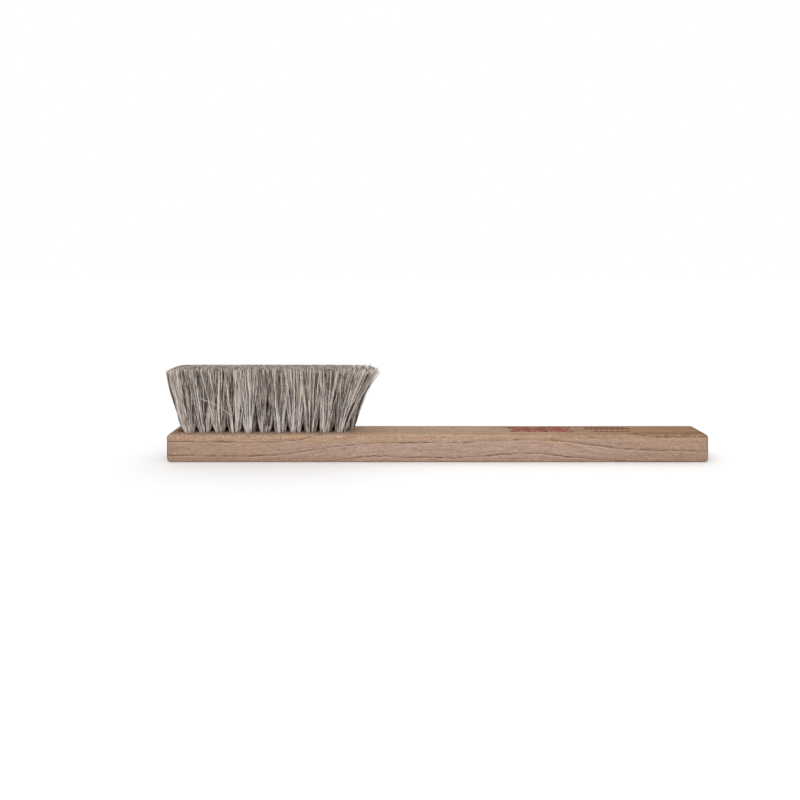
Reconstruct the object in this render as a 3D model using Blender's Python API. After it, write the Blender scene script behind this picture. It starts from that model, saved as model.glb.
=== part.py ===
"""Bee brush: a beech bar drilled with two staggered rows of blind holes, each holding a folded tuft of
horsehair on a flat wire anchor.

Metres, +Z up. The origin is the centre of the bar's flat back. -X is the brush end, +X the handle end,
and the hair stands up towards +Z.
"""

from math import cos, pi, radians, sin, sqrt, tan

import bmesh
import bpy
from mathutils import Matrix

# Bar: head and handle in one batten
BAR_LENGTH = 0.400
BAR_WIDTH = 0.030
BAR_HEIGHT = 0.0205
EDGE_ROUND = 0.0028
EDGE_SEGMENTS = 4

# Tuft rows, staggered by half a pitch
TUFT_PITCH = 0.0113
FRONT_COUNT = 11
BACK_COUNT = 12
FIRST_FRONT_X = -0.1851
ROW_Y = 0.0054

# Blind holes, with the cone that a drill leaves
HOLE_SIDES = 12
HOLE_RADIUS = 0.0040
HOLE_DEPTH = 0.0119
DRILL_POINT_HALF_ANGLE = radians(59)

# Hair
CLEARANCE = 0.0003
FOLD_LIFT = 0.0002
FREE_LENGTH = 0.0486
END_LEAN_LEFT = 0.0075
END_LEAN_RIGHT = 0.0125
ROW_LEAN = 0.0009
TOP_HALF_DEPTH = 0.0057
CELL_GAP = 0.0005
TIP_ROUND = 0.0008
SMOOTH_ANGLE = radians(40)

# Rings of the fold: height above the shoulder of the hole, and share of the root's radius
FOLD_RINGS = ((FOLD_LIFT, 0.45), (0.0011, 0.85), (0.0023, 1.0))

# Rings of the free hair, as shares of its height, and how its flare and its lean grow with them
FREE_RISES = (0.08, 0.25, 0.55, 0.97)
FLARE_POWER = 0.55
LEAN_POWER = 1.25

# Flat wire anchors
ANCHOR_HEIGHT = 0.0020
ANCHOR_THICKNESS = 0.0005
ANCHOR_BITE = 0.0005
ANCHOR_POINT = 0.0004
ANCHOR_Z = 0.0122

FIRST_BACK_X = FIRST_FRONT_X - TUFT_PITCH / 2
ROOT_RADIUS = HOLE_RADIUS - CLEARANCE / cos(pi / HOLE_SIDES)
ANCHOR_LENGTH = 2 * (HOLE_RADIUS + ANCHOR_BITE)
HAIR_MIDDLE_X = FIRST_FRONT_X + TUFT_PITCH * (FRONT_COUNT - 1) / 2
HAIR_HALF_X = TUFT_PITCH * (BACK_COUNT - 1) / 2


def clear_scene():
    for item in list(bpy.data.objects):
        bpy.data.objects.remove(item)


def make_material(name, colour, roughness, metallic=0.0):
    material = bpy.data.materials.new(name)
    material.use_nodes = True
    shader = material.node_tree.nodes["Principled BSDF"]
    shader.inputs["Base Color"].default_value = (*colour, 1.0)
    shader.inputs["Roughness"].default_value = roughness
    shader.inputs["Metallic"].default_value = metallic
    return material


def add_object(name, shape, material=None):
    """Turns a bmesh into a named object with its faces pointing out."""
    bmesh.ops.recalc_face_normals(shape, faces=shape.faces)
    mesh = bpy.data.meshes.new(name)
    shape.to_mesh(mesh)
    shape.free()
    if material:
        mesh.materials.append(material)
    thing = bpy.data.objects.new(name, mesh)
    bpy.context.scene.collection.objects.link(thing)
    return thing


def add_cutter(name, shape):
    cutter = add_object(name, shape)
    cutter.hide_render = True
    cutter.display_type = "WIRE"
    return cutter


def cut(thing, cutter):
    boolean = thing.modifiers.new("Cut " + cutter.name, "BOOLEAN")
    boolean.operation = "DIFFERENCE"
    boolean.object = cutter


def add_box(shape, size, centre):
    matrix = Matrix.Translation(centre) @ Matrix.Diagonal((*size, 1.0))
    bmesh.ops.create_cube(shape, size=1.0, matrix=matrix)


def row_positions():
    """Every tuft's name ending, and the centre of its hole on the bar."""
    front = [(f"front_{i + 1:02d}", FIRST_FRONT_X + TUFT_PITCH * i, -ROW_Y) for i in range(FRONT_COUNT)]
    back = [(f"back_{i + 1:02d}", FIRST_BACK_X + TUFT_PITCH * i, ROW_Y) for i in range(BACK_COUNT)]
    return front + back


def ring_angles(sides):
    """Angles of a ring whose flats face along X and Y."""
    return [2 * pi * (k + 0.5) / sides for k in range(sides)]


def squared_ring(half_x, half_y, squareness):
    """A ring that runs from an ellipse, at squareness 0, towards a rounded rectangle."""
    power = 1.0 - 0.5 * squareness
    points = []
    for angle in ring_angles(HOLE_SIDES):
        across, along = cos(angle), sin(angle)
        x = half_x * abs(across) ** power * (1 if across > 0 else -1)
        y = half_y * abs(along) ** power * (1 if along > 0 else -1)
        points.append((x, y))
    return points


def loft(shape, rings):
    """Bridges rings of equal length and caps both ends."""
    loops = [[shape.verts.new(point) for point in ring] for ring in rings]
    for lower, upper in zip(loops, loops[1:]):
        for k in range(len(lower)):
            after = (k + 1) % len(lower)
            shape.faces.new((lower[k], lower[after], upper[after], upper[k]))
    shape.faces.new(list(reversed(loops[0])))
    shape.faces.new(loops[-1])


# Bar


def drill_shape(shape, x, y):
    """A drill standing in its hole: a prism with a conical point."""
    top = BAR_HEIGHT + HOLE_DEPTH / 2
    shoulder = BAR_HEIGHT - HOLE_DEPTH
    tip = shoulder - HOLE_RADIUS / tan(DRILL_POINT_HALF_ANGLE)
    plan = [(x + HOLE_RADIUS * cos(a), y + HOLE_RADIUS * sin(a)) for a in ring_angles(HOLE_SIDES)]
    upper = [shape.verts.new((px, py, top)) for px, py in plan]
    lower = [shape.verts.new((px, py, shoulder)) for px, py in plan]
    point = shape.verts.new((x, y, tip))
    for k in range(HOLE_SIDES):
        after = (k + 1) % HOLE_SIDES
        shape.faces.new((lower[k], lower[after], upper[after], upper[k]))
        shape.faces.new((lower[after], lower[k], point))
    shape.faces.new(upper)


def make_hole_cutter():
    shape = bmesh.new()
    for _, x, y in row_positions():
        drill_shape(shape, x, y)
    return add_cutter("cutter_holes", shape)


def make_groove_cutter():
    """The grooves that the anchors' ends bite into the hole walls."""
    shape = bmesh.new()
    size = (
        ANCHOR_THICKNESS + 2 * CLEARANCE,
        ANCHOR_LENGTH + 2 * CLEARANCE,
        ANCHOR_HEIGHT + 2 * CLEARANCE,
    )
    for _, x, y in row_positions():
        add_box(shape, size, (x, y, ANCHOR_Z))
    return add_cutter("cutter_grooves", shape)


def make_bar(material):
    shape = bmesh.new()
    add_box(shape, (BAR_LENGTH, BAR_WIDTH, BAR_HEIGHT), (0, 0, BAR_HEIGHT / 2))
    bar = add_object("handle_bar", shape, material)
    rounding = bar.modifiers.new("Rounded edges", "BEVEL")
    rounding.width = EDGE_ROUND
    rounding.segments = EDGE_SEGMENTS
    cut(bar, make_hole_cutter())
    cut(bar, make_groove_cutter())


# Hair


def tuft_lean(x, y):
    """How far a tuft's tips stand out from its root: more towards the ends, and away from the middle."""
    along = (x - HAIR_MIDDLE_X) / HAIR_HALF_X
    reach = END_LEAN_LEFT + (END_LEAN_RIGHT - END_LEAN_LEFT) * (along + 1) / 2
    return reach * along, ROW_LEAN * (1 if y > 0 else -1)


def top_half_width(x, y):
    """Half of the room that a tuft's tips have between their neighbours in the row."""
    ahead = tuft_lean(x + TUFT_PITCH, y)[0] - tuft_lean(x, y)[0]
    behind = tuft_lean(x, y)[0] - tuft_lean(x - TUFT_PITCH, y)[0]
    return (TUFT_PITCH + min(ahead, behind) - CELL_GAP) / 2


def ring_at(x, y, z, half_x, half_y, squareness=0.0):
    return [(x + px, y + py, z) for px, py in squared_ring(half_x, half_y, squareness)]


def tuft_rings(x, y):
    """The fold in the hole, the shank up to the wood, and the flared hair above it."""
    shoulder = BAR_HEIGHT - HOLE_DEPTH
    folded = [(shoulder + lift, share * ROOT_RADIUS) for lift, share in FOLD_RINGS]
    folded.append((BAR_HEIGHT, ROOT_RADIUS))
    rings = [ring_at(x, y, z, radius, radius) for z, radius in folded]
    lean_x, lean_y = tuft_lean(x, y)
    height = sqrt(FREE_LENGTH**2 - lean_x**2 - lean_y**2)
    half_top = top_half_width(x, y)
    for rise in FREE_RISES:
        spread = rise**FLARE_POWER
        bend = rise**LEAN_POWER
        rings.append(
            ring_at(
                x + lean_x * bend,
                y + lean_y * bend,
                BAR_HEIGHT + height * rise,
                ROOT_RADIUS + (half_top - ROOT_RADIUS) * spread,
                ROOT_RADIUS + (TOP_HALF_DEPTH - ROOT_RADIUS) * spread,
                spread,
            )
        )
    rings.append(
        ring_at(
            x + lean_x,
            y + lean_y,
            BAR_HEIGHT + height,
            half_top - TIP_ROUND,
            TOP_HALF_DEPTH - TIP_ROUND,
            1.0,
        )
    )
    return rings


def make_tuft(ending, x, y, material):
    shape = bmesh.new()
    loft(shape, tuft_rings(x, y))
    tuft = add_object("tuft_" + ending, shape, material)
    for face in tuft.data.polygons:
        face.use_smooth = True
    tuft.data.set_sharp_from_angle(angle=SMOOTH_ANGLE)
    window = bmesh.new()
    size = (ANCHOR_THICKNESS + 2 * CLEARANCE, 4 * HOLE_RADIUS, ANCHOR_HEIGHT + 2 * CLEARANCE)
    add_box(window, size, (x, y, ANCHOR_Z))
    cut(tuft, add_cutter("cutter_window_" + ending, window))


# Anchors


def make_anchor(ending, x, y, material):
    """A flat piece of wire with chisel ends, standing on edge across the bar."""
    shape = bmesh.new()
    half = ANCHOR_LENGTH / 2
    side = ANCHOR_THICKNESS / 2
    plan = (
        (-side, -half + ANCHOR_POINT),
        (0, -half),
        (side, -half + ANCHOR_POINT),
        (side, half - ANCHOR_POINT),
        (0, half),
        (-side, half - ANCHOR_POINT),
    )
    levels = (-ANCHOR_HEIGHT / 2, ANCHOR_HEIGHT / 2)
    loft(shape, [[(px, py, level) for px, py in plan] for level in levels])
    anchor = add_object("anchor_" + ending, shape, material)
    anchor.location = (x, y, ANCHOR_Z)


def make_brush():
    clear_scene()
    wood = make_material("oiled_beech", (0.52, 0.36, 0.25), 0.55)
    hair = make_material("horsehair", (0.36, 0.31, 0.26), 0.62)
    wire = make_material("anchor_wire", (0.55, 0.55, 0.53), 0.35, metallic=1.0)
    make_bar(wood)
    for ending, x, y in row_positions():
        make_tuft(ending, x, y, hair)
        make_anchor(ending, x, y, wire)


make_brush()
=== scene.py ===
"""The looks of a bee brush: a beech bar with two staggered rows of horsehair tufts.

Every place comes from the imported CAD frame. Metres, +Z up, the brush lies on its back on z = 0.
"""

from math import cos, pi, radians, sin, sqrt

import bmesh
import bpy
import numpy as np
from mathutils import Matrix, Vector


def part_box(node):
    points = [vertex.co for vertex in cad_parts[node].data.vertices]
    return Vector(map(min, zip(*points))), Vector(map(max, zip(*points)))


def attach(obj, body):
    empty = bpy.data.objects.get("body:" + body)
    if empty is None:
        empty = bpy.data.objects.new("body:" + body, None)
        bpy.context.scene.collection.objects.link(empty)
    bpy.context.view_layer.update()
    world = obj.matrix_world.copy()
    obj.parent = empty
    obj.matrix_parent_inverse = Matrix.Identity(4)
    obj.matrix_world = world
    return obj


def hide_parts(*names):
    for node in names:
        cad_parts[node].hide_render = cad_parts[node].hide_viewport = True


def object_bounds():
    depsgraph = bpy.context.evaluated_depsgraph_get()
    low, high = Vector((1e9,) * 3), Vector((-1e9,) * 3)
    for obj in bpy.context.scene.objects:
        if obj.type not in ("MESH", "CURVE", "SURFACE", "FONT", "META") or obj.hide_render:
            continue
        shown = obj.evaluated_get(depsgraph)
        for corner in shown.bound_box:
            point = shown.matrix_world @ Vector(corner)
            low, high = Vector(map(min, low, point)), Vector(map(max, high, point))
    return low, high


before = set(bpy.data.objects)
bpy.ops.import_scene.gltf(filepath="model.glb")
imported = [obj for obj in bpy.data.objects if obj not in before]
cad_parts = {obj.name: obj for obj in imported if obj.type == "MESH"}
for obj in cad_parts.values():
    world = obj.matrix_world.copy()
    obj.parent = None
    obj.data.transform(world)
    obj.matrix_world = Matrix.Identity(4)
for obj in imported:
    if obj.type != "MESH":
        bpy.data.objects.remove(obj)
CAD_LOW, CAD_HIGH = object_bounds()

MM = 0.001

# The bar and its holes, as the CAD frame has them
BAR_LOW, BAR_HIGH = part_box("handle_bar")
WOOD_TOP = BAR_HIGH.z
FRONT_TUFTS = sorted(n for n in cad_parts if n.startswith("tuft_front"))
BACK_TUFTS = sorted(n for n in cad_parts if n.startswith("tuft_back"))
EDGE_ROUND = 2.8 * MM
HOLE_RADIUS = 4.0 * MM
HOLE_DEPTH = 11.9 * MM

# Hair: every tuft is made of locks, a lock of wisps, a wisp of strands, and a strand of hairs
HAIRS_PER_TUFT = 1400
STRANDS_PER_TUFT = 330
STRANDS_IN_LAYER = 21
WISPS_PER_TUFT = 34
LOCKS_PER_TUFT = 7
HAIR_RADIUS = 0.115 * MM
HAIR_TOP = CAD_HIGH.z
ROOT_SPREAD = 3.8 * MM

# Shares of a tuft's hairs that are bold, or twice as thick, that stray, that are short and that stand proud
BOLD_SHARE = 0.10
STRAY_SHARE = 0.08
SHORT_SHARE = 0.28
PROUD_SHARE = 0.07

# Half the size of a tuft's fan of tips, along and across the bar, and along it at a row's two ends
FAN = np.array((9.3, 6.4)) * MM
FAN_LEFT_END, FAN_RIGHT_END = 10.4 * MM, 13.5 * MM

# The crown is the outline of all tips, seen from above. Its tips are lower at the sides and the two ends,
# and some stand proud over the ragged length next to the handle
CROWN_LOW = np.array((-202.6, -12.6)) * MM
CROWN_HIGH = np.array((-46.0, 12.6)) * MM
CROWN_CORNER = 10.0 * MM
SIDE_DROP, LEFT_DROP, RIGHT_DROP = 0.8 * MM, 2.9 * MM, 2.1 * MM
RAGGED_END = 24 * MM

# Camera: level, looking along +Y, with the picture's centre below the horizon
CAMERA_X = -30.3 * MM
CAMERA_Z = 147.8 * MM
CAMERA_DISTANCE = 522.3 * MM
FOCAL_PIXELS = 709.8
IMAGE_SIZE = 800
HORIZON_SHIFT = -0.1729
SIDE_SHIFT = 0.0044

# Light: the room is brighter overhead than at the walls, and a soft lamp stands on the camera's left
WALL_LIGHT = 0.55
CEILING_LIGHT = 0.95
KEY_LIGHT = 0.20


# ---------------------------------------------------------------- shader graphs


class Graph:
    """Wires the nodes of one material."""

    def __init__(self, name):
        self.material = bpy.data.materials.new(name)
        self.material.use_nodes = True
        self.tree = self.material.node_tree
        self.shader = self.tree.nodes["Principled BSDF"]

    def node(self, kind, **settings):
        made = self.tree.nodes.new("ShaderNode" + kind)
        for key, value in settings.items():
            setattr(made, key, value)
        return made

    def put(self, socket, value):
        if isinstance(value, bpy.types.NodeSocket):
            self.tree.links.new(value, socket)
        else:
            socket.default_value = value

    def math(self, operation, a, b=None, c=None, clamp=False):
        made = self.node("Math", operation=operation, use_clamp=clamp)
        for socket, value in zip(made.inputs, (a, b, c)):
            if value is not None:
                self.put(socket, value)
        return made.outputs[0]

    def times(self, first, *others):
        """The product of two or more numbers."""
        product = first
        for other in others:
            product = self.math("MULTIPLY", product, other)
        return product

    def nudged(self, value, noise, size):
        """A number moved up and down by a noise, by half of size either way at most."""
        return self.math("MULTIPLY_ADD", self.math("SUBTRACT", noise, 0.5), size, value)

    def position(self):
        """The point on the surface, in millimetres, as three numbers."""
        place = self.node("TexCoord").outputs["Object"]
        scaled = self.node("VectorMath", operation="SCALE")
        self.put(scaled.inputs[0], place)
        self.put(scaled.inputs["Scale"], 1 / MM)
        split = self.node("SeparateXYZ")
        self.put(split.inputs[0], scaled.outputs[0])
        return split.outputs[0], split.outputs[1], split.outputs[2]

    def vector(self, x, y, z):
        made = self.node("CombineXYZ")
        for socket, value in zip(made.inputs, (x, y, z)):
            self.put(socket, value)
        return made.outputs[0]

    def stretched(self, place, scales):
        """A place for a noise, whose features get smaller in each direction as its scale grows."""
        return self.vector(*(self.math("MULTIPLY", p, s) for p, s in zip(place, scales)))

    def noise(self, vector, detail=2.0, roughness=0.5):
        made = self.node("TexNoise")
        self.put(made.inputs["Vector"], vector)
        for name, value in (("Scale", 1.0), ("Detail", detail), ("Roughness", roughness)):
            self.put(made.inputs[name], value)
        return made.outputs["Fac"]

    def remap(self, value, low, high, to_low=0.0, to_high=1.0):
        """Runs smoothly from to_low to to_high while the value runs from low to high."""
        made = self.node("MapRange", interpolation_type="SMOOTHSTEP")
        for socket, number in zip(made.inputs, (value, low, high, to_low, to_high)):
            self.put(socket, number)
        return made.outputs[0]

    def ramp(self, value, stops):
        """A colour, or a grey given as one number, for every stop."""
        made = self.node("ValToRGB")
        self.put(made.inputs[0], value)
        elements = made.color_ramp.elements
        while len(elements) < len(stops):
            elements.new(0.5)
        for element, (place, colour) in zip(elements, stops):
            element.position = place
            shade = colour if isinstance(colour, tuple) else (colour, colour, colour)
            element.color = (*shade, 1.0)
        return made.outputs[0]

    def mix(self, share, a, b, blend="MIX"):
        made = self.node("Mix", data_type="RGBA", blend_type=blend)
        self.put(made.inputs[0], share)
        for socket, value in ((made.inputs[6], a), (made.inputs[7], b)):
            self.put(socket, (*value, 1.0) if isinstance(value, tuple) else value)
        return made.outputs[2]

    def tinted(self, colour, tint):
        """A colour multiplied by another."""
        return self.mix(1.0, colour, tint, "MULTIPLY")

    def dimmed(self, colour, factor):
        """A colour multiplied by a number."""
        return self.tinted(colour, self.vector(factor, factor, factor))

    def attribute(self, name):
        return self.node("Attribute", attribute_name=name).outputs["Fac"]

    def bump(self, height, distance, strength):
        made = self.node("Bump")
        self.put(made.inputs["Height"], height)
        self.put(made.inputs["Distance"], distance)
        self.put(made.inputs["Strength"], strength)
        self.put(self.shader.inputs["Normal"], made.outputs[0])


# ---------------------------------------------------------------- beech

# Sizes in millimetres. A wave is its size, its length along the bar and the place of its crest
RING_SPACING = 9.5
PITH_Y, PITH_Z = 9.0, -72.0
WAVES = ((6.0, 480.0, 40.0), (1.5, 130.0, 205.0))

# Where the bar's sides are pinkest
PINKEST_X, PINKEST_Z = 10.0, 9.0

PINK_WOOD = (0.490, 0.338, 0.280)
GOLDEN_WOOD = (0.530, 0.344, 0.214)
BAND_WOOD = (0.42, 0.280, 0.212)
DARK_STREAK, LIGHT_STREAK = (0.27, 0.170, 0.122), (0.66, 0.500, 0.400)
DARK_FLECK, LIGHT_FLECK = (0.20, 0.118, 0.083), (0.72, 0.565, 0.46)
DARK_SPECK, LIGHT_SPECK = (0.27, 0.140, 0.078), (0.74, 0.56, 0.42)
# The dark line of a year, and the colour of the painted highlight beside it
RING_LINE, RING_HIGHLIGHT = (0.150, 0.080, 0.052), (0.70, 0.54, 0.44)
FIBRE_WOOD = (0.30, 0.195, 0.14)
END_WOOD, END_PORES = (0.265, 0.178, 0.124), (0.105, 0.062, 0.038)
END_BAND, END_LINE = (0.31, 0.208, 0.142), (0.105, 0.058, 0.036)

# What the wood's colour is multiplied by: painted shade on the bare top, and age and hands on the top at
# the grip and on the grip's edges
TOP_SHADE_TINT, GRIP_TINT = (0.770, 0.775, 0.750), (0.545, 0.468, 0.335)
GRIP_EDGE_TINT = (0.840, 0.790, 0.725)


def ring_distance(graph, place):
    """Distance from the tree's middle, with the slow waves of a trunk that grew unevenly."""
    x, y, height = place
    for size, length, crest in WAVES:
        turn = graph.math("MULTIPLY_ADD", x, 2 * pi / length, -2 * pi * crest / length)
        height = graph.math("MULTIPLY_ADD", graph.math("COSINE", turn), -size, height)
    slow = graph.noise(graph.stretched(place, (0.014, 0.03, 0.045)), detail=2.0)
    fine = graph.noise(graph.stretched(place, (0.07, 0.12, 0.25)), detail=3.0, roughness=0.6)
    small = graph.noise(graph.stretched(place, (0.18, 0.2, 0.4)), detail=1.0)
    for noise, size in ((slow, 4.0), (fine, 2.0), (small, 1.0)):
        height = graph.nudged(height, noise, size)
    across = graph.math("SUBTRACT", y, PITH_Y)
    up = graph.math("SUBTRACT", height, PITH_Z)
    return graph.math("SQRT", graph.math("MULTIPLY_ADD", up, up, graph.times(across, across)))


def ring_lines(graph, place, distance):
    """The dark line where a year ends and a painted highlight just inside it, as on a raised edge, both
    fainter here and there.
    """
    phase = graph.math("FRACT", graph.math("DIVIDE", distance, RING_SPACING))
    line = graph.ramp(
        phase, ((0.0, 1.0), (0.03, 0.85), (0.07, 0.30), (0.17, 0.0), (0.955, 0.0), (0.978, 1.0))
    )
    beside = graph.ramp(phase, ((0.0, 0.0), (0.85, 0.0), (0.91, 1.0), (0.945, 1.0), (0.965, 0.0)))
    slow = graph.noise(graph.stretched(place, (0.03, 0.08, 0.12)))
    broken = graph.noise(graph.stretched(place, (0.17, 0.15, 0.35)), detail=1.0)
    strength = graph.times(
        graph.remap(slow, 0.3, 0.7, 0.55, 1.0), graph.remap(broken, 0.38, 0.60, 0.35, 1.0)
    )
    return graph.times(line, strength), graph.times(beside, strength)


class BeechFigure:
    """Where the surface is and faces, and the patterns that its colour and relief are made of."""

    def __init__(self, graph):
        self.place = graph.position()
        x, y, _ = self.place
        self.from_middle = graph.math("ABSOLUTE", graph.math("SUBTRACT", x, PINKEST_X))
        facing = graph.node("SeparateXYZ")
        graph.put(facing.inputs[0], graph.node("NewGeometry").outputs["Normal"])
        self.endward = graph.math("ABSOLUTE", facing.outputs[0])
        self.upward = graph.remap(facing.outputs[2], 0.72, 0.99)

        distance = ring_distance(graph, self.place)
        self.line, self.beside = ring_lines(graph, self.place, distance)
        ringwise = graph.vector(graph.times(x, 0.02), graph.times(distance, 0.55), 0.0)
        self.band = graph.noise(ringwise, detail=3.0)

        grain = (x, y, distance)
        self.streak = graph.noise(graph.stretched(grain, (0.07, 1.1, 1.3)), detail=4.0, roughness=0.72)
        self.fibre = graph.noise(graph.stretched(grain, (0.12, 3.2, 3.2)), detail=3.0, roughness=0.6)
        self.speck = graph.noise(graph.stretched(grain, (0.80, 1.2, 1.9)), detail=1.0)
        fleck = graph.noise(graph.stretched(grain, (0.27, 1.4, 2.1)), detail=1.0)
        self.dark_fleck = graph.remap(fleck, 0.60, 0.68)
        self.light_fleck = graph.remap(fleck, 0.385, 0.32)


def ground_colour(graph, figure):
    """Pinker along the middle of the sides, more golden at the ends and near the edges."""
    _, _, z = figure.place
    blotch = graph.noise(graph.stretched(figure.place, (0.02, 0.06, 0.12)), detail=2.0)
    wobbling = graph.nudged(z, blotch, 12.0)
    from_edge = graph.math("ABSOLUTE", graph.math("SUBTRACT", wobbling, PINKEST_Z))
    golden = graph.times(graph.remap(figure.from_middle, 50.0, 170.0), 0.6)
    golden = graph.math("MAXIMUM", golden, graph.remap(from_edge, 3.5, 9.0))
    return graph.mix(golden, PINK_WOOD, GOLDEN_WOOD)


def with_specks(graph, figure, colour):
    """Short pores and rays, plainest where the worked edge passes the tufts, and few on the top."""
    x, _, z = figure.place
    edge_by_tufts = graph.times(graph.remap(z, 15.5, 18.0), graph.remap(x, 30.0, -60.0))
    plain = graph.math("MULTIPLY_ADD", edge_by_tufts, 0.40, 0.38)
    plain = graph.times(plain, graph.math("MULTIPLY_ADD", figure.upward, -0.80, 1.0))
    colour = graph.mix(graph.times(graph.remap(figure.speck, 0.54, 0.64), plain), colour, DARK_SPECK)
    return graph.mix(graph.times(graph.remap(figure.speck, 0.46, 0.36), 0.20), colour, LIGHT_SPECK)


def with_grain(graph, figure, colour):
    """Bands, streaks, flecks, specks, the lines of the years and the fibres, from broad to fine."""
    colour = graph.mix(graph.remap(figure.band, 0.32, 0.68, 0.0, 0.40), colour, BAND_WOOD)
    colour = graph.mix(graph.remap(figure.streak, 0.50, 0.68, 0.0, 0.62), colour, DARK_STREAK)
    colour = graph.mix(graph.remap(figure.streak, 0.48, 0.32, 0.0, 0.50), colour, LIGHT_STREAK)
    colour = graph.mix(graph.times(figure.dark_fleck, 0.62), colour, DARK_FLECK)
    colour = graph.mix(graph.times(figure.light_fleck, 0.45), colour, LIGHT_FLECK)
    colour = with_specks(graph, figure, colour)
    side = graph.math("MULTIPLY_ADD", figure.upward, -0.50, 1.0)
    # Painted highlight beside each year's line
    colour = graph.mix(graph.times(figure.beside, graph.times(side, 0.45)), colour, RING_HIGHLIGHT)
    colour = graph.mix(graph.times(figure.line, side), colour, RING_LINE)
    return graph.mix(graph.remap(figure.fibre, 0.35, 0.65, 0.0, 0.30), colour, FIBRE_WOOD)


def shaded_and_aged_top(graph, figure, colour):
    """The top is darkened by painted shade, and towards the grip, which the hand and the oil reach, it has
    aged towards amber.
    """
    tint = graph.mix(graph.remap(figure.place[0], 40.0, 180.0), TOP_SHADE_TINT, GRIP_TINT)
    lengthwise = graph.noise(graph.stretched(figure.place, (0.008, 0.50, 0.0)), detail=3.0, roughness=0.6)
    tint = graph.dimmed(tint, graph.remap(lengthwise, 0.38, 0.60, 0.83, 1.12))
    return graph.mix(figure.upward, colour, graph.tinted(colour, tint))


def edge_light_shade_and_oil(graph, figure, colour):
    """Sides darker low down and towards the ends, painted light on the bottom edge, painted shade close to
    the ends and on their eased edges, and oiled edges at the grip.
    """
    x, _, z = figure.place
    off_centre = graph.math("ABSOLUTE", x)
    brightness = graph.times(graph.remap(figure.from_middle, 50.0, 190.0, 0.0, -0.11), graph.remap(z, 17.5, 15.0))
    brightness = graph.times(
        graph.math("ADD", brightness, 1.0),
        graph.remap(z, 3.0, 5.6, 0.92, 1.0),
        # Painted light on the bottom edge, which faces the floor
        graph.remap(z, 0.3, 2.6, 1.28, 1.0),
        # Painted shade close to the ends and on their eased edges
        graph.remap(off_centre, 189.0, 198.0, 1.0, 0.91),
        graph.remap(off_centre, 198.6, 199.6, 1.0, 0.76),
    )
    colour = graph.dimmed(colour, brightness)
    oiled = graph.times(
        graph.remap(z, 16.5, 18.5), graph.math("SUBTRACT", 1.0, figure.upward), graph.remap(x, 10.0, 150.0)
    )
    return graph.mix(oiled, colour, graph.tinted(colour, GRIP_EDGE_TINT))


def with_end_grain_and_shade(graph, figure, colour):
    """End grain drinks more oil, so it is darker. The mix starts where the surface has turned only a little
    towards the ends, so it also paints shade on the eased edges there.
    """
    pores = graph.noise(graph.stretched(figure.place, (0.5, 3.4, 3.4)), detail=3.0, roughness=0.7)
    end = graph.mix(graph.remap(pores, 0.48, 0.62), END_WOOD, END_PORES)
    end = graph.mix(graph.remap(figure.band, 0.35, 0.65, 0.0, 0.50), end, END_BAND)
    end = graph.mix(graph.times(figure.line, 0.8), end, END_LINE)
    return graph.mix(graph.remap(figure.endward, 0.15, 0.70, 0.0, 0.92), colour, end)


def beech_layers(graph):
    """The colour, and the height and roughness maps, of sanded steamed beech."""
    figure = BeechFigure(graph)
    colour = ground_colour(graph, figure)
    for layer in (with_grain, shaded_and_aged_top, edge_light_shade_and_oil, with_end_grain_and_shade):
        colour = layer(graph, figure, colour)
    height = graph.math("MULTIPLY_ADD", figure.fibre, 0.5, graph.times(figure.line, -0.5))
    height = graph.math("MULTIPLY_ADD", figure.dark_fleck, -0.5, height)
    rough = graph.remap(figure.fibre, 0.3, 0.7, 0.58, 0.72)
    return colour, height, rough


def beech_material():
    graph = Graph("steamed_beech")
    colour, height, rough = beech_layers(graph)
    graph.put(graph.shader.inputs["Base Color"], colour)
    graph.put(graph.shader.inputs["Roughness"], rough)
    graph.shader.inputs["Specular IOR Level"].default_value = 0.12
    graph.bump(height, 0.12 * MM, 0.6)
    return graph.material


RED_INK, DARK_INK = (0.285, 0.036, 0.022), (0.105, 0.024, 0.014)


def ink_material():
    """Red marking ink that has sunk into the grain and worn thin, darker in the smaller mark."""
    graph = Graph("worn_red_ink")
    wood, height, rough = beech_layers(graph)
    place = graph.position()
    worn = graph.noise(graph.stretched(place, (0.5, 1.6, 1.6)), detail=3.0, roughness=0.65)
    cover = graph.remap(worn, 0.42, 0.70, 1.0, 0.74)
    pooled = graph.noise(graph.stretched(place, (0.22, 0.30, 0.30)), detail=2.0)
    small_mark = graph.remap(place[0], 108.0, 113.0, 0.0, 0.75)
    dark = graph.math("MAXIMUM", graph.remap(pooled, 0.38, 0.66), small_mark)
    ink = graph.mix(dark, RED_INK, DARK_INK)
    graph.put(graph.shader.inputs["Base Color"], graph.mix(cover, wood, ink))
    graph.put(graph.shader.inputs["Roughness"], rough)
    graph.shader.inputs["Specular IOR Level"].default_value = 0.15
    graph.bump(height, 0.12 * MM, 0.5)
    return graph.material


def wire_material():
    graph = Graph("drawn_steel_wire")
    drawn = graph.noise(graph.stretched(graph.position(), (6.0, 0.3, 6.0)), detail=3.0)
    colour = graph.mix(graph.remap(drawn, 0.3, 0.7), (0.50, 0.50, 0.49), (0.64, 0.63, 0.61))
    graph.put(graph.shader.inputs["Base Color"], colour)
    graph.put(graph.shader.inputs["Roughness"], graph.remap(drawn, 0.3, 0.7, 0.28, 0.45))
    graph.shader.inputs["Metallic"].default_value = 1.0
    graph.bump(drawn, 0.02 * MM, 0.5)
    return graph.material


# The hair's colours from the darkest tone to the lightest, and the tints of cool and of warm hair
HAIR_COLOURS = (
    (0.0, (0.040, 0.021, 0.013)),
    (0.28, (0.132, 0.083, 0.056)),
    (0.52, (0.62, 0.520, 0.445)),
    (0.78, (0.96, 0.875, 0.805)),
    (1.0, (1.0, 0.96, 0.925)),
)
COOL_TINT, WARM_TINT = (0.965, 0.945, 0.980), (1.045, 0.975, 0.885)


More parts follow.
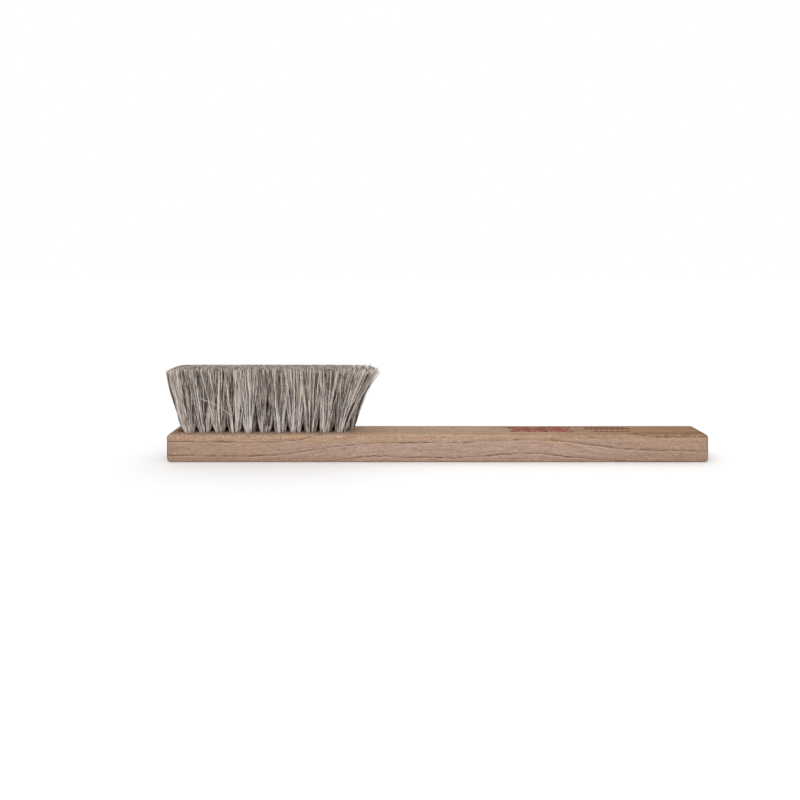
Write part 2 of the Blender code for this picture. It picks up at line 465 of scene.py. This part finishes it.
def horsehair_material():
    """Mixed natural horsehair. Each hair has its own mottled tone, cool at the root and warm at the tip,
    dimmed by painted shade.
    """
    graph = Graph("mixed_horsehair")
    mottle = graph.noise(graph.stretched(graph.position(), (2.2, 2.2, 1.9)), detail=2.0)
    colour = graph.ramp(graph.nudged(graph.attribute("tone"), mottle, 2.20), HAIR_COLOURS)
    along = graph.math("SUBTRACT", graph.attribute("along"), 0.5)
    warmth = graph.math("MULTIPLY_ADD", along, 0.45, graph.attribute("warmth"), clamp=True)
    colour = graph.tinted(colour, graph.mix(warmth, COOL_TINT, WARM_TINT))
    # The shade attribute is painted shade
    colour = graph.dimmed(colour, graph.attribute("shade"))
    graph.put(graph.shader.inputs["Base Color"], colour)
    graph.put(graph.shader.inputs["Roughness"], graph.remap(mottle, 0.3, 0.7, 0.42, 0.58))
    graph.shader.inputs["Specular IOR Level"].default_value = 0.22
    return graph.material


def floor_material():
    graph = Graph("pale_floor")
    cloud = graph.noise(graph.stretched(graph.position(), (0.004, 0.004, 0.004)), detail=2.0)
    graph.put(graph.shader.inputs["Base Color"], graph.mix(cloud, (0.90, 0.90, 0.90), (0.92, 0.92, 0.92)))
    graph.shader.inputs["Roughness"].default_value = 0.9
    graph.shader.inputs["Specular IOR Level"].default_value = 0.0
    return graph.material


# ---------------------------------------------------------------- meshes


def link(name, mesh, material):
    thing = bpy.data.objects.new(name, mesh)
    bpy.context.scene.collection.objects.link(thing)
    mesh.materials.append(material)
    return thing


def applied(thing):
    """Turns an object's modifiers into plain mesh."""
    graph = bpy.context.evaluated_depsgraph_get()
    mesh = bpy.data.meshes.new_from_object(thing.evaluated_get(graph))
    thing.modifiers.clear()
    thing.data = mesh
    return mesh


def hole_centre(node):
    """The middle of a tuft's hole, from the lowest ring of its CAD solid."""
    points = [v.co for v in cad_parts[node].data.vertices]
    floor = min(p.z for p in points)
    ring = [p for p in points if p.z < floor + 0.05 * MM]
    low = Vector((min(p.x for p in ring), min(p.y for p in ring)))
    high = Vector((max(p.x for p in ring), max(p.y for p in ring)))
    return (low + high) / 2


def hole_cutter():
    """One turned drill shape for each hole."""
    shape = bmesh.new()
    for node in FRONT_TUFTS + BACK_TUFTS:
        centre = hole_centre(node)
        place = Matrix.Translation((centre.x, centre.y, WOOD_TOP))
        bmesh.ops.create_cone(
            shape,
            cap_ends=True,
            segments=32,
            radius1=HOLE_RADIUS,
            radius2=HOLE_RADIUS,
            depth=2 * HOLE_DEPTH,
            matrix=place,
        )
    mesh = bpy.data.meshes.new("hole_cutter")
    shape.to_mesh(mesh)
    shape.free()
    cutter = bpy.data.objects.new("hole_cutter", mesh)
    bpy.context.scene.collection.objects.link(cutter)
    return cutter


def make_bar(material):
    """The beech bar: a sanded batten with eased edges and its drilled holes."""
    size = BAR_HIGH - BAR_LOW
    middle = (BAR_HIGH + BAR_LOW) / 2
    shape = bmesh.new()
    matrix = Matrix.Translation(middle) @ Matrix.Diagonal((*size, 1.0))
    bmesh.ops.create_cube(shape, size=1.0, matrix=matrix)
    mesh = bpy.data.meshes.new("bar_wood")
    shape.to_mesh(mesh)
    shape.free()
    bar = link("bar_wood", mesh, material)
    rounding = bar.modifiers.new("Eased edges", "BEVEL")
    rounding.width = EDGE_ROUND
    rounding.segments = 8
    rounding.harden_normals = True
    cutter = hole_cutter()
    drilling = bar.modifiers.new("Drilled holes", "BOOLEAN")
    drilling.object = cutter
    mesh = applied(bar)
    bpy.data.objects.remove(cutter)
    mesh.shade_smooth()
    mesh.set_sharp_from_angle(angle=radians(35))
    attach(bar, "root")
    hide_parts("handle_bar")


# ---------------------------------------------------------------- hair

# Rings of a hair above the wood, as shares of its way up
RISE = np.array([0.0, 0.04, 0.09, 0.15, 0.22, 0.30, 0.38, 0.47, 0.56, 0.65, 0.74, 0.83, 0.92, 1.0])
SIDES = 3

# Turns each hair's tube a little further than the one before, so that their flat sides face all ways
GOLDEN_ANGLE = 2.399

# How far a tuft's tips fill the corners of their fan, from 0 for a disc to 1 for a square
SQUARENESS = 0.7

# How much of the way back to the crown's outline a stray tip is drawn, in either half of the crown
HANDLE_SIDE_PULL, END_SIDE_PULL = 0.7, 0.8

# In the hole: half the fold's width, and where the fold and the straight hair start above the shoulder
FOLD_HALF_WIDTH = 0.45 * MM
FOLD_HEIGHT = 0.9 * MM
SHANK_HEIGHT = 4.2 * MM

# A tuft's random numbers start from this seed and its own index
FIRST_SEED = 4100


def disc(random, count):
    """Even random points in a unit disc."""
    radius = np.sqrt(random.random(count))
    angle = random.random(count) * 2 * pi
    return np.stack([radius * np.cos(angle), radius * np.sin(angle)], 1)


def squared(points, share):
    """Pushes points of a disc out towards the corners of a square."""
    reach = np.linalg.norm(points, axis=1, keepdims=True)
    longest = np.abs(points).max(1, keepdims=True)
    square = points * reach / np.maximum(longest, 1e-6)
    return points * (1 - share) + square * share


def nearest(points, centres):
    """For each point its nearest centre, and how far off that is."""
    gap = ((points[:, None, :] - centres[None, :, :]) ** 2).sum(2)
    return gap.argmin(1), np.sqrt(gap.min(1))


def smooth(value, low, high):
    share = np.clip((value - low) / (high - low), 0, 1)
    return share * share * (3 - 2 * share)


def wave(random, groups, size, group_of, rise, fewest=0.45, most=1.8):
    """A slow random sideways wave for each group of hairs, at every ring of every hair."""
    angle = random.random(groups) * 2 * pi
    turns = random.uniform(fewest, most, groups)
    start = random.random(groups) * 2 * pi
    size = size * np.abs(random.normal(0.6, 0.5, groups))
    angle, turns, start, size = (values[group_of][:, None] for values in (angle, turns, start, size))
    swing = np.sin(2 * pi * turns * rise + start) - np.sin(start)
    swing = swing * size * rise**0.6
    return np.stack([swing * np.cos(angle), swing * np.sin(angle)], 2)


def row_place(root):
    """How far along its row a tuft stands: -1 at the brush's end, 1 next to the handle."""
    row = FRONT_TUFTS if root.y < 0 else BACK_TUFTS
    first, last = hole_centre(row[0]).x, hole_centre(row[-1]).x
    return 2 * (root.x - first) / (last - first) - 1, first, last


def crown_fan(root):
    """The middle and the half size of a tuft's fan of tips. Only the tufts near the ends lean outwards."""
    place, first, last = row_place(root)
    if place < 0:
        share, end_fan = abs(place) ** 3, FAN_LEFT_END
        lean = CROWN_LOW[0] + end_fan - first
    else:
        share, end_fan = place**5, FAN_RIGHT_END
        lean = CROWN_HIGH[0] - end_fan - last
    row_y = (CROWN_HIGH - FAN)[1] if root.y > 0 else (CROWN_LOW + FAN)[1]
    middle = np.array((root.x + lean * share, row_y))
    return middle, np.array((FAN[0] + (end_fan - FAN[0]) * share, FAN[1]))


def inside_crown(tips):
    """Draws stray tips back towards the crown's outline, and gives how near the edge each one is."""
    middle, half = (CROWN_LOW + CROWN_HIGH) / 2, (CROWN_HIGH - CROWN_LOW) / 2
    offset = tips - middle
    beyond = np.maximum(np.abs(offset) - (half - CROWN_CORNER), 0)
    reach = np.linalg.norm(beyond, axis=1, keepdims=True)
    drawn_back = np.where(offset[:, :1] > 0, HANDLE_SIDE_PULL, END_SIDE_PULL)
    excess = np.maximum(reach - CROWN_CORNER, 0) * drawn_back
    tips = tips - np.sign(offset) * beyond / np.maximum(reach, 1e-9) * excess
    nearness = np.minimum(reach[:, 0] / CROWN_CORNER, 1.0)
    endness = np.clip(beyond[:, 0] / CROWN_CORNER, 0, 1)
    return tips, nearness, endness


class Bundle:
    """How one tuft's hairs cling together: hairs in strands, strands in wisps and wisps in locks."""

    def __init__(self, random):
        self.place = disc(random, HAIRS_PER_TUFT)
        self.strands = disc(random, STRANDS_PER_TUFT)
        self.wisps = disc(random, WISPS_PER_TUFT)
        self.locks = disc(random, LOCKS_PER_TUFT) * 0.9
        self.strand_of, self.off_strand = nearest(self.place, self.strands)
        self.wisp_of_strand = nearest(self.strands, self.wisps)[0]
        self.wisp_of = self.wisp_of_strand[self.strand_of]
        self.lock_of = nearest(self.wisps, self.locks)[0][self.wisp_of]
        self.spread_strands(random)
        self.spread_hairs(random)

    def spread_strands(self, random):
        """Where the strands' tips go in the tuft's fan, in half sizes of the fan from its middle."""
        cling = random.uniform(0.0, 0.45, WISPS_PER_TUFT)[self.wisp_of_strand][:, None]
        wisp_tips = squared(self.wisps, SQUARENESS) + random.normal(0, 0.20, self.wisps.shape)
        tips = squared(self.strands, SQUARENESS)
        tips += (wisp_tips[self.wisp_of_strand] - tips) * cling + random.normal(0, 0.36, tips.shape)
        self.strand_tips = tips

    def spread_hairs(self, random):
        """Where the hairs' tips go, in the same measure. Most follow their strand, and bold ones don't."""
        count = HAIRS_PER_TUFT
        tips = squared(self.place, SQUARENESS)
        follow = random.choice((0.93, 0.6), (count, 1), p=(0.85, 0.15))
        tips += (self.strand_tips[self.strand_of] - tips) * follow
        self.bold = random.random(count) < BOLD_SHARE
        tips[self.bold] = tips[self.bold] * 0.82 + random.normal(0, 0.20, (self.bold.sum(), 2))
        gather = random.uniform(0.0, 0.10, LOCKS_PER_TUFT)[self.lock_of][:, None]
        self.tips = tips + (squared(self.locks, SQUARENESS)[self.lock_of] - tips) * gather


def hair_tips(random, bundle, root, looseness):
    """Where the tips are, seen from above, and how near the crown's edge and its ends they are."""
    count = HAIRS_PER_TUFT
    sway = random.normal(0, 0.14 * MM * looseness, (count, 2))
    stray = random.random(count) < STRAY_SHARE
    sway += random.normal(0, 0.6 * MM * looseness, (count, 2)) * stray[:, None]
    middle, fan = crown_fan(root)
    return inside_crown(middle + bundle.tips * fan + sway)


def hair_bow(random, bundle, root):
    """How much each hair bows outwards on its way: more in the tufts at the brush's end."""
    place = row_place(root)[0]
    freely = 0.14 - 0.08 * smooth(place, 0.8, 1.0)
    bow = 0.50 * smooth(-place, -1.0, 1.0) - 0.11
    return (bow + random.normal(0, freely, WISPS_PER_TUFT))[bundle.wisp_of][:, None]


def hair_heights(random, tips, root, looseness, nearness, endness):
    """The height of each tip: trimmed level, lower at the crown's edge, and ragged next to the handle."""
    count = HAIRS_PER_TUFT
    trimmed = HAIR_TOP - np.abs(random.normal(0, 0.6 * MM * looseness, count))
    proud = smooth(tips[:, 0], CROWN_HIGH[0] - RAGGED_END, CROWN_HIGH[0])
    proud *= random.random(count) < PROUD_SHARE
    trimmed += random.uniform(0.8, 3.0, count) * MM * proud
    end_drop = LEFT_DROP if row_place(root)[0] < 0 else RIGHT_DROP
    return trimmed - (SIDE_DROP + (end_drop - SIDE_DROP) * endness) * nearness**1.3


def hair_paths(random, bundle, root, looseness):
    """Centre lines of one tuft's hairs above the wood: an array of hair, ring and coordinate."""
    count = HAIRS_PER_TUFT
    tips, nearness, endness = hair_tips(random, bundle, root, looseness)

    # A short hair ends part of the way up its path
    short = random.random(count) < SHORT_SHARE
    reach = np.where(short, random.uniform(0.60, 0.99, count), 1.0)
    rise = RISE[None, :] * reach[:, None]
    foot = np.array(root) + bundle.place * ROOT_SPREAD
    share = rise**1.12 * (1 + hair_bow(random, bundle, root) * (1 - rise))
    flat = foot[:, None, :] + (tips - foot)[:, None, :] * share[:, :, None]
    swell = np.interp(rise, (0.0, 0.06, 0.14, 0.3, 0.5), (0.0, 0.14, 0.18, 0.09, 0.0))
    flat += (bundle.place * ROOT_SPREAD)[:, None, :] * swell[:, :, None]

    calm = (1 - 0.6 * endness)[:, None, None]
    flat += wave(random, WISPS_PER_TUFT, 0.34 * MM, bundle.wisp_of, rise) * calm
    flat += wave(random, STRANDS_PER_TUFT, 0.30 * MM, bundle.strand_of, rise) * calm
    flat += wave(random, STRANDS_PER_TUFT, 0.20 * MM, bundle.strand_of, rise, 1.5, 3.2) * calm
    flat += wave(random, count, 0.10 * MM * looseness, np.arange(count), rise) * calm
    height = hair_heights(random, tips, root, looseness, nearness, endness)
    up = WOOD_TOP + (height - WOOD_TOP)[:, None] * rise
    return np.concatenate([flat, up[:, :, None]], 2)


def folded_roots(paths, root, place):
    """Adds the part in the hole: up from under the anchor, on the side that the hair stands on."""
    count = len(paths)
    side = np.where(place[:, 0] > 0, 1.0, -1.0)
    under = np.empty((count, 2, 3))
    under[:, 0, 0] = root[0] + side * FOLD_HALF_WIDTH
    under[:, 0, 1] = root[1] + place[:, 1] * 0.6 * ROOT_SPREAD
    under[:, 0, 2] = WOOD_TOP - HOLE_DEPTH + FOLD_HEIGHT
    under[:, 1, :2] = np.array(root) + place * ROOT_SPREAD * 0.95
    under[:, 1, 2] = WOOD_TOP - HOLE_DEPTH + SHANK_HEIGHT
    return np.concatenate([under, paths], 1)


def tube_corners(paths, radii):
    """The corners of a tube round every centre line, ring by ring. No line runs along Y."""
    forward = np.gradient(paths, axis=1)
    across = np.cross(forward, (0.0, 1.0, 0.0))
    across /= np.linalg.norm(across, axis=2, keepdims=True)
    other = np.cross(forward, across)
    other /= np.linalg.norm(other, axis=2, keepdims=True)
    turn = (np.arange(len(paths)) * GOLDEN_ANGLE)[:, None]
    angle = turn + np.linspace(0, 2 * pi, SIDES, endpoint=False)[None, :]
    ring = across[:, :, None, :] * np.cos(angle)[:, None, :, None]
    ring = ring + other[:, :, None, :] * np.sin(angle)[:, None, :, None]
    return paths[:, :, None, :] + ring * radii[:, :, None, None]


def tubes(name, paths, radii):
    """A closed three-sided tube round every centre line, as one mesh."""
    count, rings, _ = paths.shape
    first = (np.arange(count) * rings * SIDES)[:, None, None]
    level = (np.arange(rings - 1) * SIDES)[None, :, None]
    corner = np.arange(SIDES)[None, None, :]
    after = (corner + 1) % SIDES
    low = first + level
    sides = np.stack([low + corner, low + after, low + SIDES + after, low + SIDES + corner], 3)
    sides = sides.reshape(-1, 4)
    foot = first[:, 0] + np.arange(SIDES)[::-1][None, :]
    head = first[:, 0] + (rings - 1) * SIDES + np.arange(SIDES)[None, :]
    caps = np.concatenate([foot, head])
    mesh = bpy.data.meshes.new(name)
    mesh.vertices.add(count * rings * SIDES)
    mesh.vertices.foreach_set("co", tube_corners(paths, radii).astype(np.float32).ravel())
    loops = np.concatenate([sides.ravel(), caps.ravel()]).astype(np.int32)
    mesh.loops.add(len(loops))
    mesh.loops.foreach_set("vertex_index", loops)
    sizes = np.concatenate([np.full(len(sides), 4), np.full(len(caps), SIDES)])
    starts = np.concatenate([[0], np.cumsum(sizes)[:-1]]).astype(np.int32)
    mesh.polygons.add(len(sizes))
    mesh.polygons.foreach_set("loop_start", starts)
    mesh.update(calc_edges=True)
    mesh.shade_smooth()
    return mesh


def paint(mesh, name, values):
    layer = mesh.attributes.new(name, "FLOAT", "POINT")
    layer.data.foreach_set("value", values.astype(np.float32).ravel())


# Tones run from 0, nearly black, to 1, nearly white. A tuft's are lifted, then spread out from the middle
TONE_MIDDLE = 0.62
TONE_CONTRAST = 1.30
TONE_LIFT = 0.145


def hair_tones(random, kind):
    """Tones of mixed hair by kind, from 0 to 1: first nearly black, then brown, then greige, then white."""
    count = len(kind)
    tone = random.normal(0.82, 0.07, count)
    tone = np.where(kind < 0.46, random.normal(0.48, 0.09, count), tone)
    tone = np.where(kind < 0.26, random.normal(0.13, 0.08, count), tone)
    return np.where(kind > 0.88, random.normal(1.02, 0.03, count), tone)


def strand_kinds(random, tips):
    """Light and dark strands mostly take turns from left to right, in every layer from front to back."""
    layer = np.argsort(np.argsort(tips[:, 1])) // STRANDS_IN_LAYER
    order = np.lexsort((tips[:, 0], layer))
    kind = np.empty(len(tips))
    kind[order] = 0.14 + 0.56 * (np.arange(len(tips)) % 2)
    return (kind + random.normal(0, 0.11, len(tips))) % 1.0


def crossing_light_and_shade(random, strand_of, rise):
    """Painted light and shade along each strand: lighter and darker stretches, as where others cross it."""
    drift = np.zeros((STRANDS_PER_TUFT, len(rise)))
    for _ in range(2):
        turns = random.uniform(1.5, 5.0, STRANDS_PER_TUFT)[:, None]
        start = random.random(STRANDS_PER_TUFT)[:, None]
        drift += np.sin(2 * pi * (turns * rise[None, :] + start)) * 0.20
    return drift[strand_of]


def tuft_tones(random, bundle, rise):
    """The tone of every hair at every ring: its strand's, a little of its own, and painted shade between
    strands.
    """
    count = HAIRS_PER_TUFT
    tone = hair_tones(random, strand_kinds(random, bundle.strand_tips))[bundle.strand_of] * 0.90
    tone += hair_tones(random, random.random(count)) * 0.10
    tone = TONE_MIDDLE + TONE_CONTRAST * (tone + TONE_LIFT - TONE_MIDDLE)
    # Painted shade at the edges of each strand, where it meets the next
    tone -= 0.24 * smooth(bundle.off_strand, 0.03, 0.10)
    tone += random.normal(0, 0.02)
    bold_tone = random.choice((0.04, 0.50, 1.0), count, p=(0.50, 0.10, 0.40))
    tone = np.where(bundle.bold, bold_tone, tone)
    return tone[:, None] + crossing_light_and_shade(random, bundle.strand_of, rise) * ~bundle.bold[:, None]


def tuft_warmth(random, bundle):
    """How warm each hair is, from 0 to 1: by its lock, its strand and itself."""
    warmth = random.normal(0.5, 0.15, LOCKS_PER_TUFT)[bundle.lock_of]
    warmth += random.normal(0, 0.10, HAIRS_PER_TUFT)
    return np.clip(warmth + random.normal(0, 0.25, STRANDS_PER_TUFT)[bundle.strand_of], 0, 1)


def shaded_stretches(random, strand_of, rise):
    """Paints shade on up to three stretches of each strand, where it dives between its neighbours."""
    shade = np.ones((STRANDS_PER_TUFT, len(rise)))
    for _ in range(3):
        centre = random.uniform(0.2, 1.0, STRANDS_PER_TUFT)[:, None]
        half = random.uniform(0.04, 0.12, STRANDS_PER_TUFT)[:, None]
        depth = np.clip(random.normal(0.20, 0.34, STRANDS_PER_TUFT), 0, 0.78)[:, None]
        shade *= 1 - depth * (1 - smooth(np.abs(rise[None, :] - centre), 0.3 * half, half))
    return shade[strand_of]


def tuft_shade(random, bundle, root, paths, along, rise):
    """Painted shade: between the two rows at the foot, on stretches hidden by other strands, and at the
    level tips.
    """
    towards_middle = -bundle.place[:, 1] * (1 if root.y > 0 else -1)
    between = smooth(1 - abs(row_place(root)[0]), 0.0, 0.16)
    inner = smooth(towards_middle, -0.2, 0.6)[:, None] * between
    shade = 1 - 0.65 * inner * (1 - smooth(along, 0.05, 0.45))
    shade *= shaded_stretches(random, bundle.strand_of, rise)
    level_top = 1 - smooth(paths[:, -1, 0], CROWN_HIGH[0] - RAGGED_END, CROWN_HIGH[0] - RAGGED_END / 4)
    return shade * (1 - 0.27 * smooth(along, 0.945, 0.99) * level_top[:, None])


def make_tuft(index, node, material):
    """One tuft, hair by hair. Those next to the handle are looser."""
    random = np.random.default_rng(FIRST_SEED + index)
    root = hole_centre(node)
    looseness = 1.0 + 1.2 * smooth(row_place(root)[0], 0.4, 1.0)
    bundle = Bundle(random)
    paths = folded_roots(hair_paths(random, bundle, root, looseness), root, bundle.place)
    count, rings, _ = paths.shape
    thickness = HAIR_RADIUS * np.clip(random.normal(1.0, 0.18, count), 0.6, 1.6)
    thickness *= np.where(bundle.bold, 2.0, 1.0)
    taper = np.linspace(1.05, 0.82, rings)
    mesh = tubes(node + "_hair", paths, thickness[:, None] * taper[None, :])

    rise = np.linspace(-0.15, 1, rings)
    along = np.clip((paths[:, :, 2] - WOOD_TOP) / (HAIR_TOP - WOOD_TOP), 0, 1)
    tone = tuft_tones(random, bundle, rise)
    warmth = tuft_warmth(random, bundle)[:, None] * np.ones((1, rings))
    shade = tuft_shade(random, bundle, root, paths, along, rise)
    for name, values in (("tone", tone), ("warmth", warmth), ("along", along), ("shade", shade)):
        paint(mesh, name, np.repeat(values, SIDES, axis=1))
    tuft = link(node + "_hair", mesh, material)
    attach(tuft, "root")
    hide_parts(node)


# The loose hair's curve runs from its start to its end, and bends towards a point between them
STRAY_START = Vector((-152.9, -11.5, 32.7)) * MM
STRAY_BEND = Vector((-158.5, -14.6, 42.1)) * MM
STRAY_END = Vector((-176.8, -14.0, 47.4)) * MM
STRAY_RINGS = 18
STRAY_RADIUS = 0.19 * MM


def make_stray(material):
    """One pale hair that has worked loose and lies across the front of the tufts."""
    steps = np.linspace(0, 1, STRAY_RINGS)[:, None]
    start, bend, end = (np.array(point) for point in (STRAY_START, STRAY_BEND, STRAY_END))
    path = (1 - steps) ** 2 * start + 2 * steps * (1 - steps) * bend + steps**2 * end
    mesh = tubes("stray_hair", path[None, :, :], np.full((1, STRAY_RINGS), STRAY_RADIUS))
    for name, value in (("tone", 1.0), ("warmth", 0.5), ("along", 0.5), ("shade", 1.0)):
        paint(mesh, name, np.full(STRAY_RINGS * SIDES, value))
    stray = link("stray_hair", mesh, material)
    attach(stray, "root")


# ---------------------------------------------------------------- mark

INK_DEPTH = 0.012 * MM

# The honeycomb's cells, and the finer cells and the dots in the rows beside it
CELL = 3.5 * MM
HONEYCOMB_START = Vector((57.5, -4.0)) * MM
SMALL_CELL = 2.3 * MM
SMALL_START = Vector((113.5, 3.3)) * MM
DOT_RADIUS = 1.8 * MM
DOTS_START = Vector((119.5, -4.4)) * MM


def add_plate(shape, outline, hole=None):
    """A thin plate of ink on the wood, with a hole of the same number of corners if one is given."""
    levels = (WOOD_TOP - INK_DEPTH, WOOD_TOP + INK_DEPTH)
    outer = [[shape.verts.new((x, y, z)) for x, y in outline] for z in levels]
    inner = [[shape.verts.new((x, y, z)) for x, y in hole] for z in levels] if hole else None
    count = len(outline)
    for k in range(count):
        after = (k + 1) % count
        shape.faces.new((outer[0][k], outer[0][after], outer[1][after], outer[1][k]))
        if hole:
            shape.faces.new((inner[0][after], inner[0][k], inner[1][k], inner[1][after]))
            shape.faces.new((outer[1][k], outer[1][after], inner[1][after], inner[1][k]))
            shape.faces.new((outer[0][after], outer[0][k], inner[0][k], inner[0][after]))
    if not hole:
        shape.faces.new(outer[1])
        shape.faces.new(list(reversed(outer[0])))


def hexagon(x, y, radius):
    return [(x + radius * sin(pi * k / 3), y + radius * cos(pi * k / 3)) for k in range(6)][::-1]


def cell_places(start, size, rows, columns):
    """Row, column and centre of every cell of a honeycomb. Every second row has one cell fewer."""
    width = size * sqrt(3)
    for row in range(rows):
        for column in range(columns - row % 2):
            x = start.x + (column + 0.5 * (row % 2)) * width
            yield row, column, x, start.y + row * size * 1.5


def make_mark(material):
    """A plain mark in red ink: a strip of honeycomb, with two rows of finer cells and one of dots."""
    shape = bmesh.new()
    for row, column, x, y in cell_places(HONEYCOMB_START, CELL, 3, 8):
        filled = (column + row) % 2 == 0
        add_plate(shape, hexagon(x, y, CELL * 0.92), None if filled else hexagon(x, y, CELL * 0.46))
    for _, _, x, y in cell_places(SMALL_START, SMALL_CELL, 2, 9):
        add_plate(shape, hexagon(x, y, SMALL_CELL * 0.86))
    for _, _, x, y in cell_places(DOTS_START, SMALL_CELL, 1, 7):
        add_plate(shape, hexagon(x, y, DOT_RADIUS))
    mesh = bpy.data.meshes.new("ink_mark")
    shape.to_mesh(mesh)
    shape.free()
    mark = link("ink_mark", mesh, material)
    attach(mark, "root")


def finish_anchors(material):
    for name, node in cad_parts.items():
        if name.startswith("anchor"):
            for slot in node.material_slots:
                slot.material = material


# ---------------------------------------------------------------- stage


def make_floor():
    """A pale floor just under the brush, large enough to reach past the picture."""
    shape = bmesh.new()
    bmesh.ops.create_grid(shape, x_segments=8, y_segments=8, size=6.0)
    mesh = bpy.data.meshes.new("floor")
    shape.to_mesh(mesh)
    shape.free()
    floor = link("floor", mesh, floor_material())
    floor.location.z = BAR_LOW.z - 0.05 * MM


def add_sun(name, azimuth, elevation, strength, spread):
    """A soft far light. Azimuth 0 shines from the camera's side, and positive from its right."""
    light = bpy.data.lights.new(name, "SUN")
    light.energy = strength * pi
    light.angle = radians(spread)
    lamp = bpy.data.objects.new(name, light)
    turn, rise = radians(azimuth), radians(elevation)
    source = Vector((sin(turn) * cos(rise), -cos(turn) * cos(rise), sin(rise)))
    lamp.rotation_euler = source.to_track_quat("Z", "Y").to_euler()
    bpy.context.scene.collection.objects.link(lamp)


def make_light():
    """A white room. The camera sees plain white, and the light comes mostly from the ceiling."""
    world = bpy.data.worlds.new("studio")
    world.use_nodes = True
    tree = world.node_tree
    place = tree.nodes.new("ShaderNodeTexCoord")
    split = tree.nodes.new("ShaderNodeSeparateXYZ")
    squaring = tree.nodes.new("ShaderNodeMath")
    squaring.operation = "MULTIPLY"
    level = tree.nodes.new("ShaderNodeMath")
    level.operation = "MULTIPLY_ADD"
    level.inputs[1].default_value = CEILING_LIGHT
    level.inputs[2].default_value = WALL_LIGHT
    path = tree.nodes.new("ShaderNodeLightPath")
    choose = tree.nodes.new("ShaderNodeMix")
    choose.inputs[3].default_value = 1.0
    tree.links.new(place.outputs["Generated"], split.inputs[0])
    tree.links.new(split.outputs[2], squaring.inputs[0])
    tree.links.new(split.outputs[2], squaring.inputs[1])
    tree.links.new(squaring.outputs[0], level.inputs[0])
    tree.links.new(path.outputs["Is Camera Ray"], choose.inputs[0])
    tree.links.new(level.outputs[0], choose.inputs[2])
    background = tree.nodes["Background"]
    background.inputs["Color"].default_value = (1.0, 1.0, 1.0, 1.0)
    tree.links.new(choose.outputs[0], background.inputs["Strength"])
    bpy.context.scene.world = world
    add_sun("key_light", azimuth=-30, elevation=38, strength=KEY_LIGHT, spread=35)


def make_camera():
    data = bpy.data.cameras.new("camera")
    data.sensor_width = 36.0
    data.lens = data.sensor_width * FOCAL_PIXELS / IMAGE_SIZE
    data.shift_x = SIDE_SHIFT
    data.shift_y = HORIZON_SHIFT
    data.clip_start = 0.01
    data.clip_end = 20.0
    camera = bpy.data.objects.new("camera", data)
    camera.location = (CAMERA_X, BAR_LOW.y - CAMERA_DISTANCE, CAMERA_Z)
    camera.rotation_euler = (radians(90), 0, 0)
    bpy.context.scene.collection.objects.link(camera)
    bpy.context.scene.camera = camera


def set_picture():
    view = bpy.context.scene.view_settings
    view.view_transform = "Standard"
    view.look = "None"


make_camera()
make_light()
make_floor()
set_picture()
make_bar(beech_material())
hair = horsehair_material()
for index, node in enumerate(FRONT_TUFTS + BACK_TUFTS):
    make_tuft(index, node, hair)
make_stray(hair)
make_mark(ink_material())
finish_anchors(wire_material())
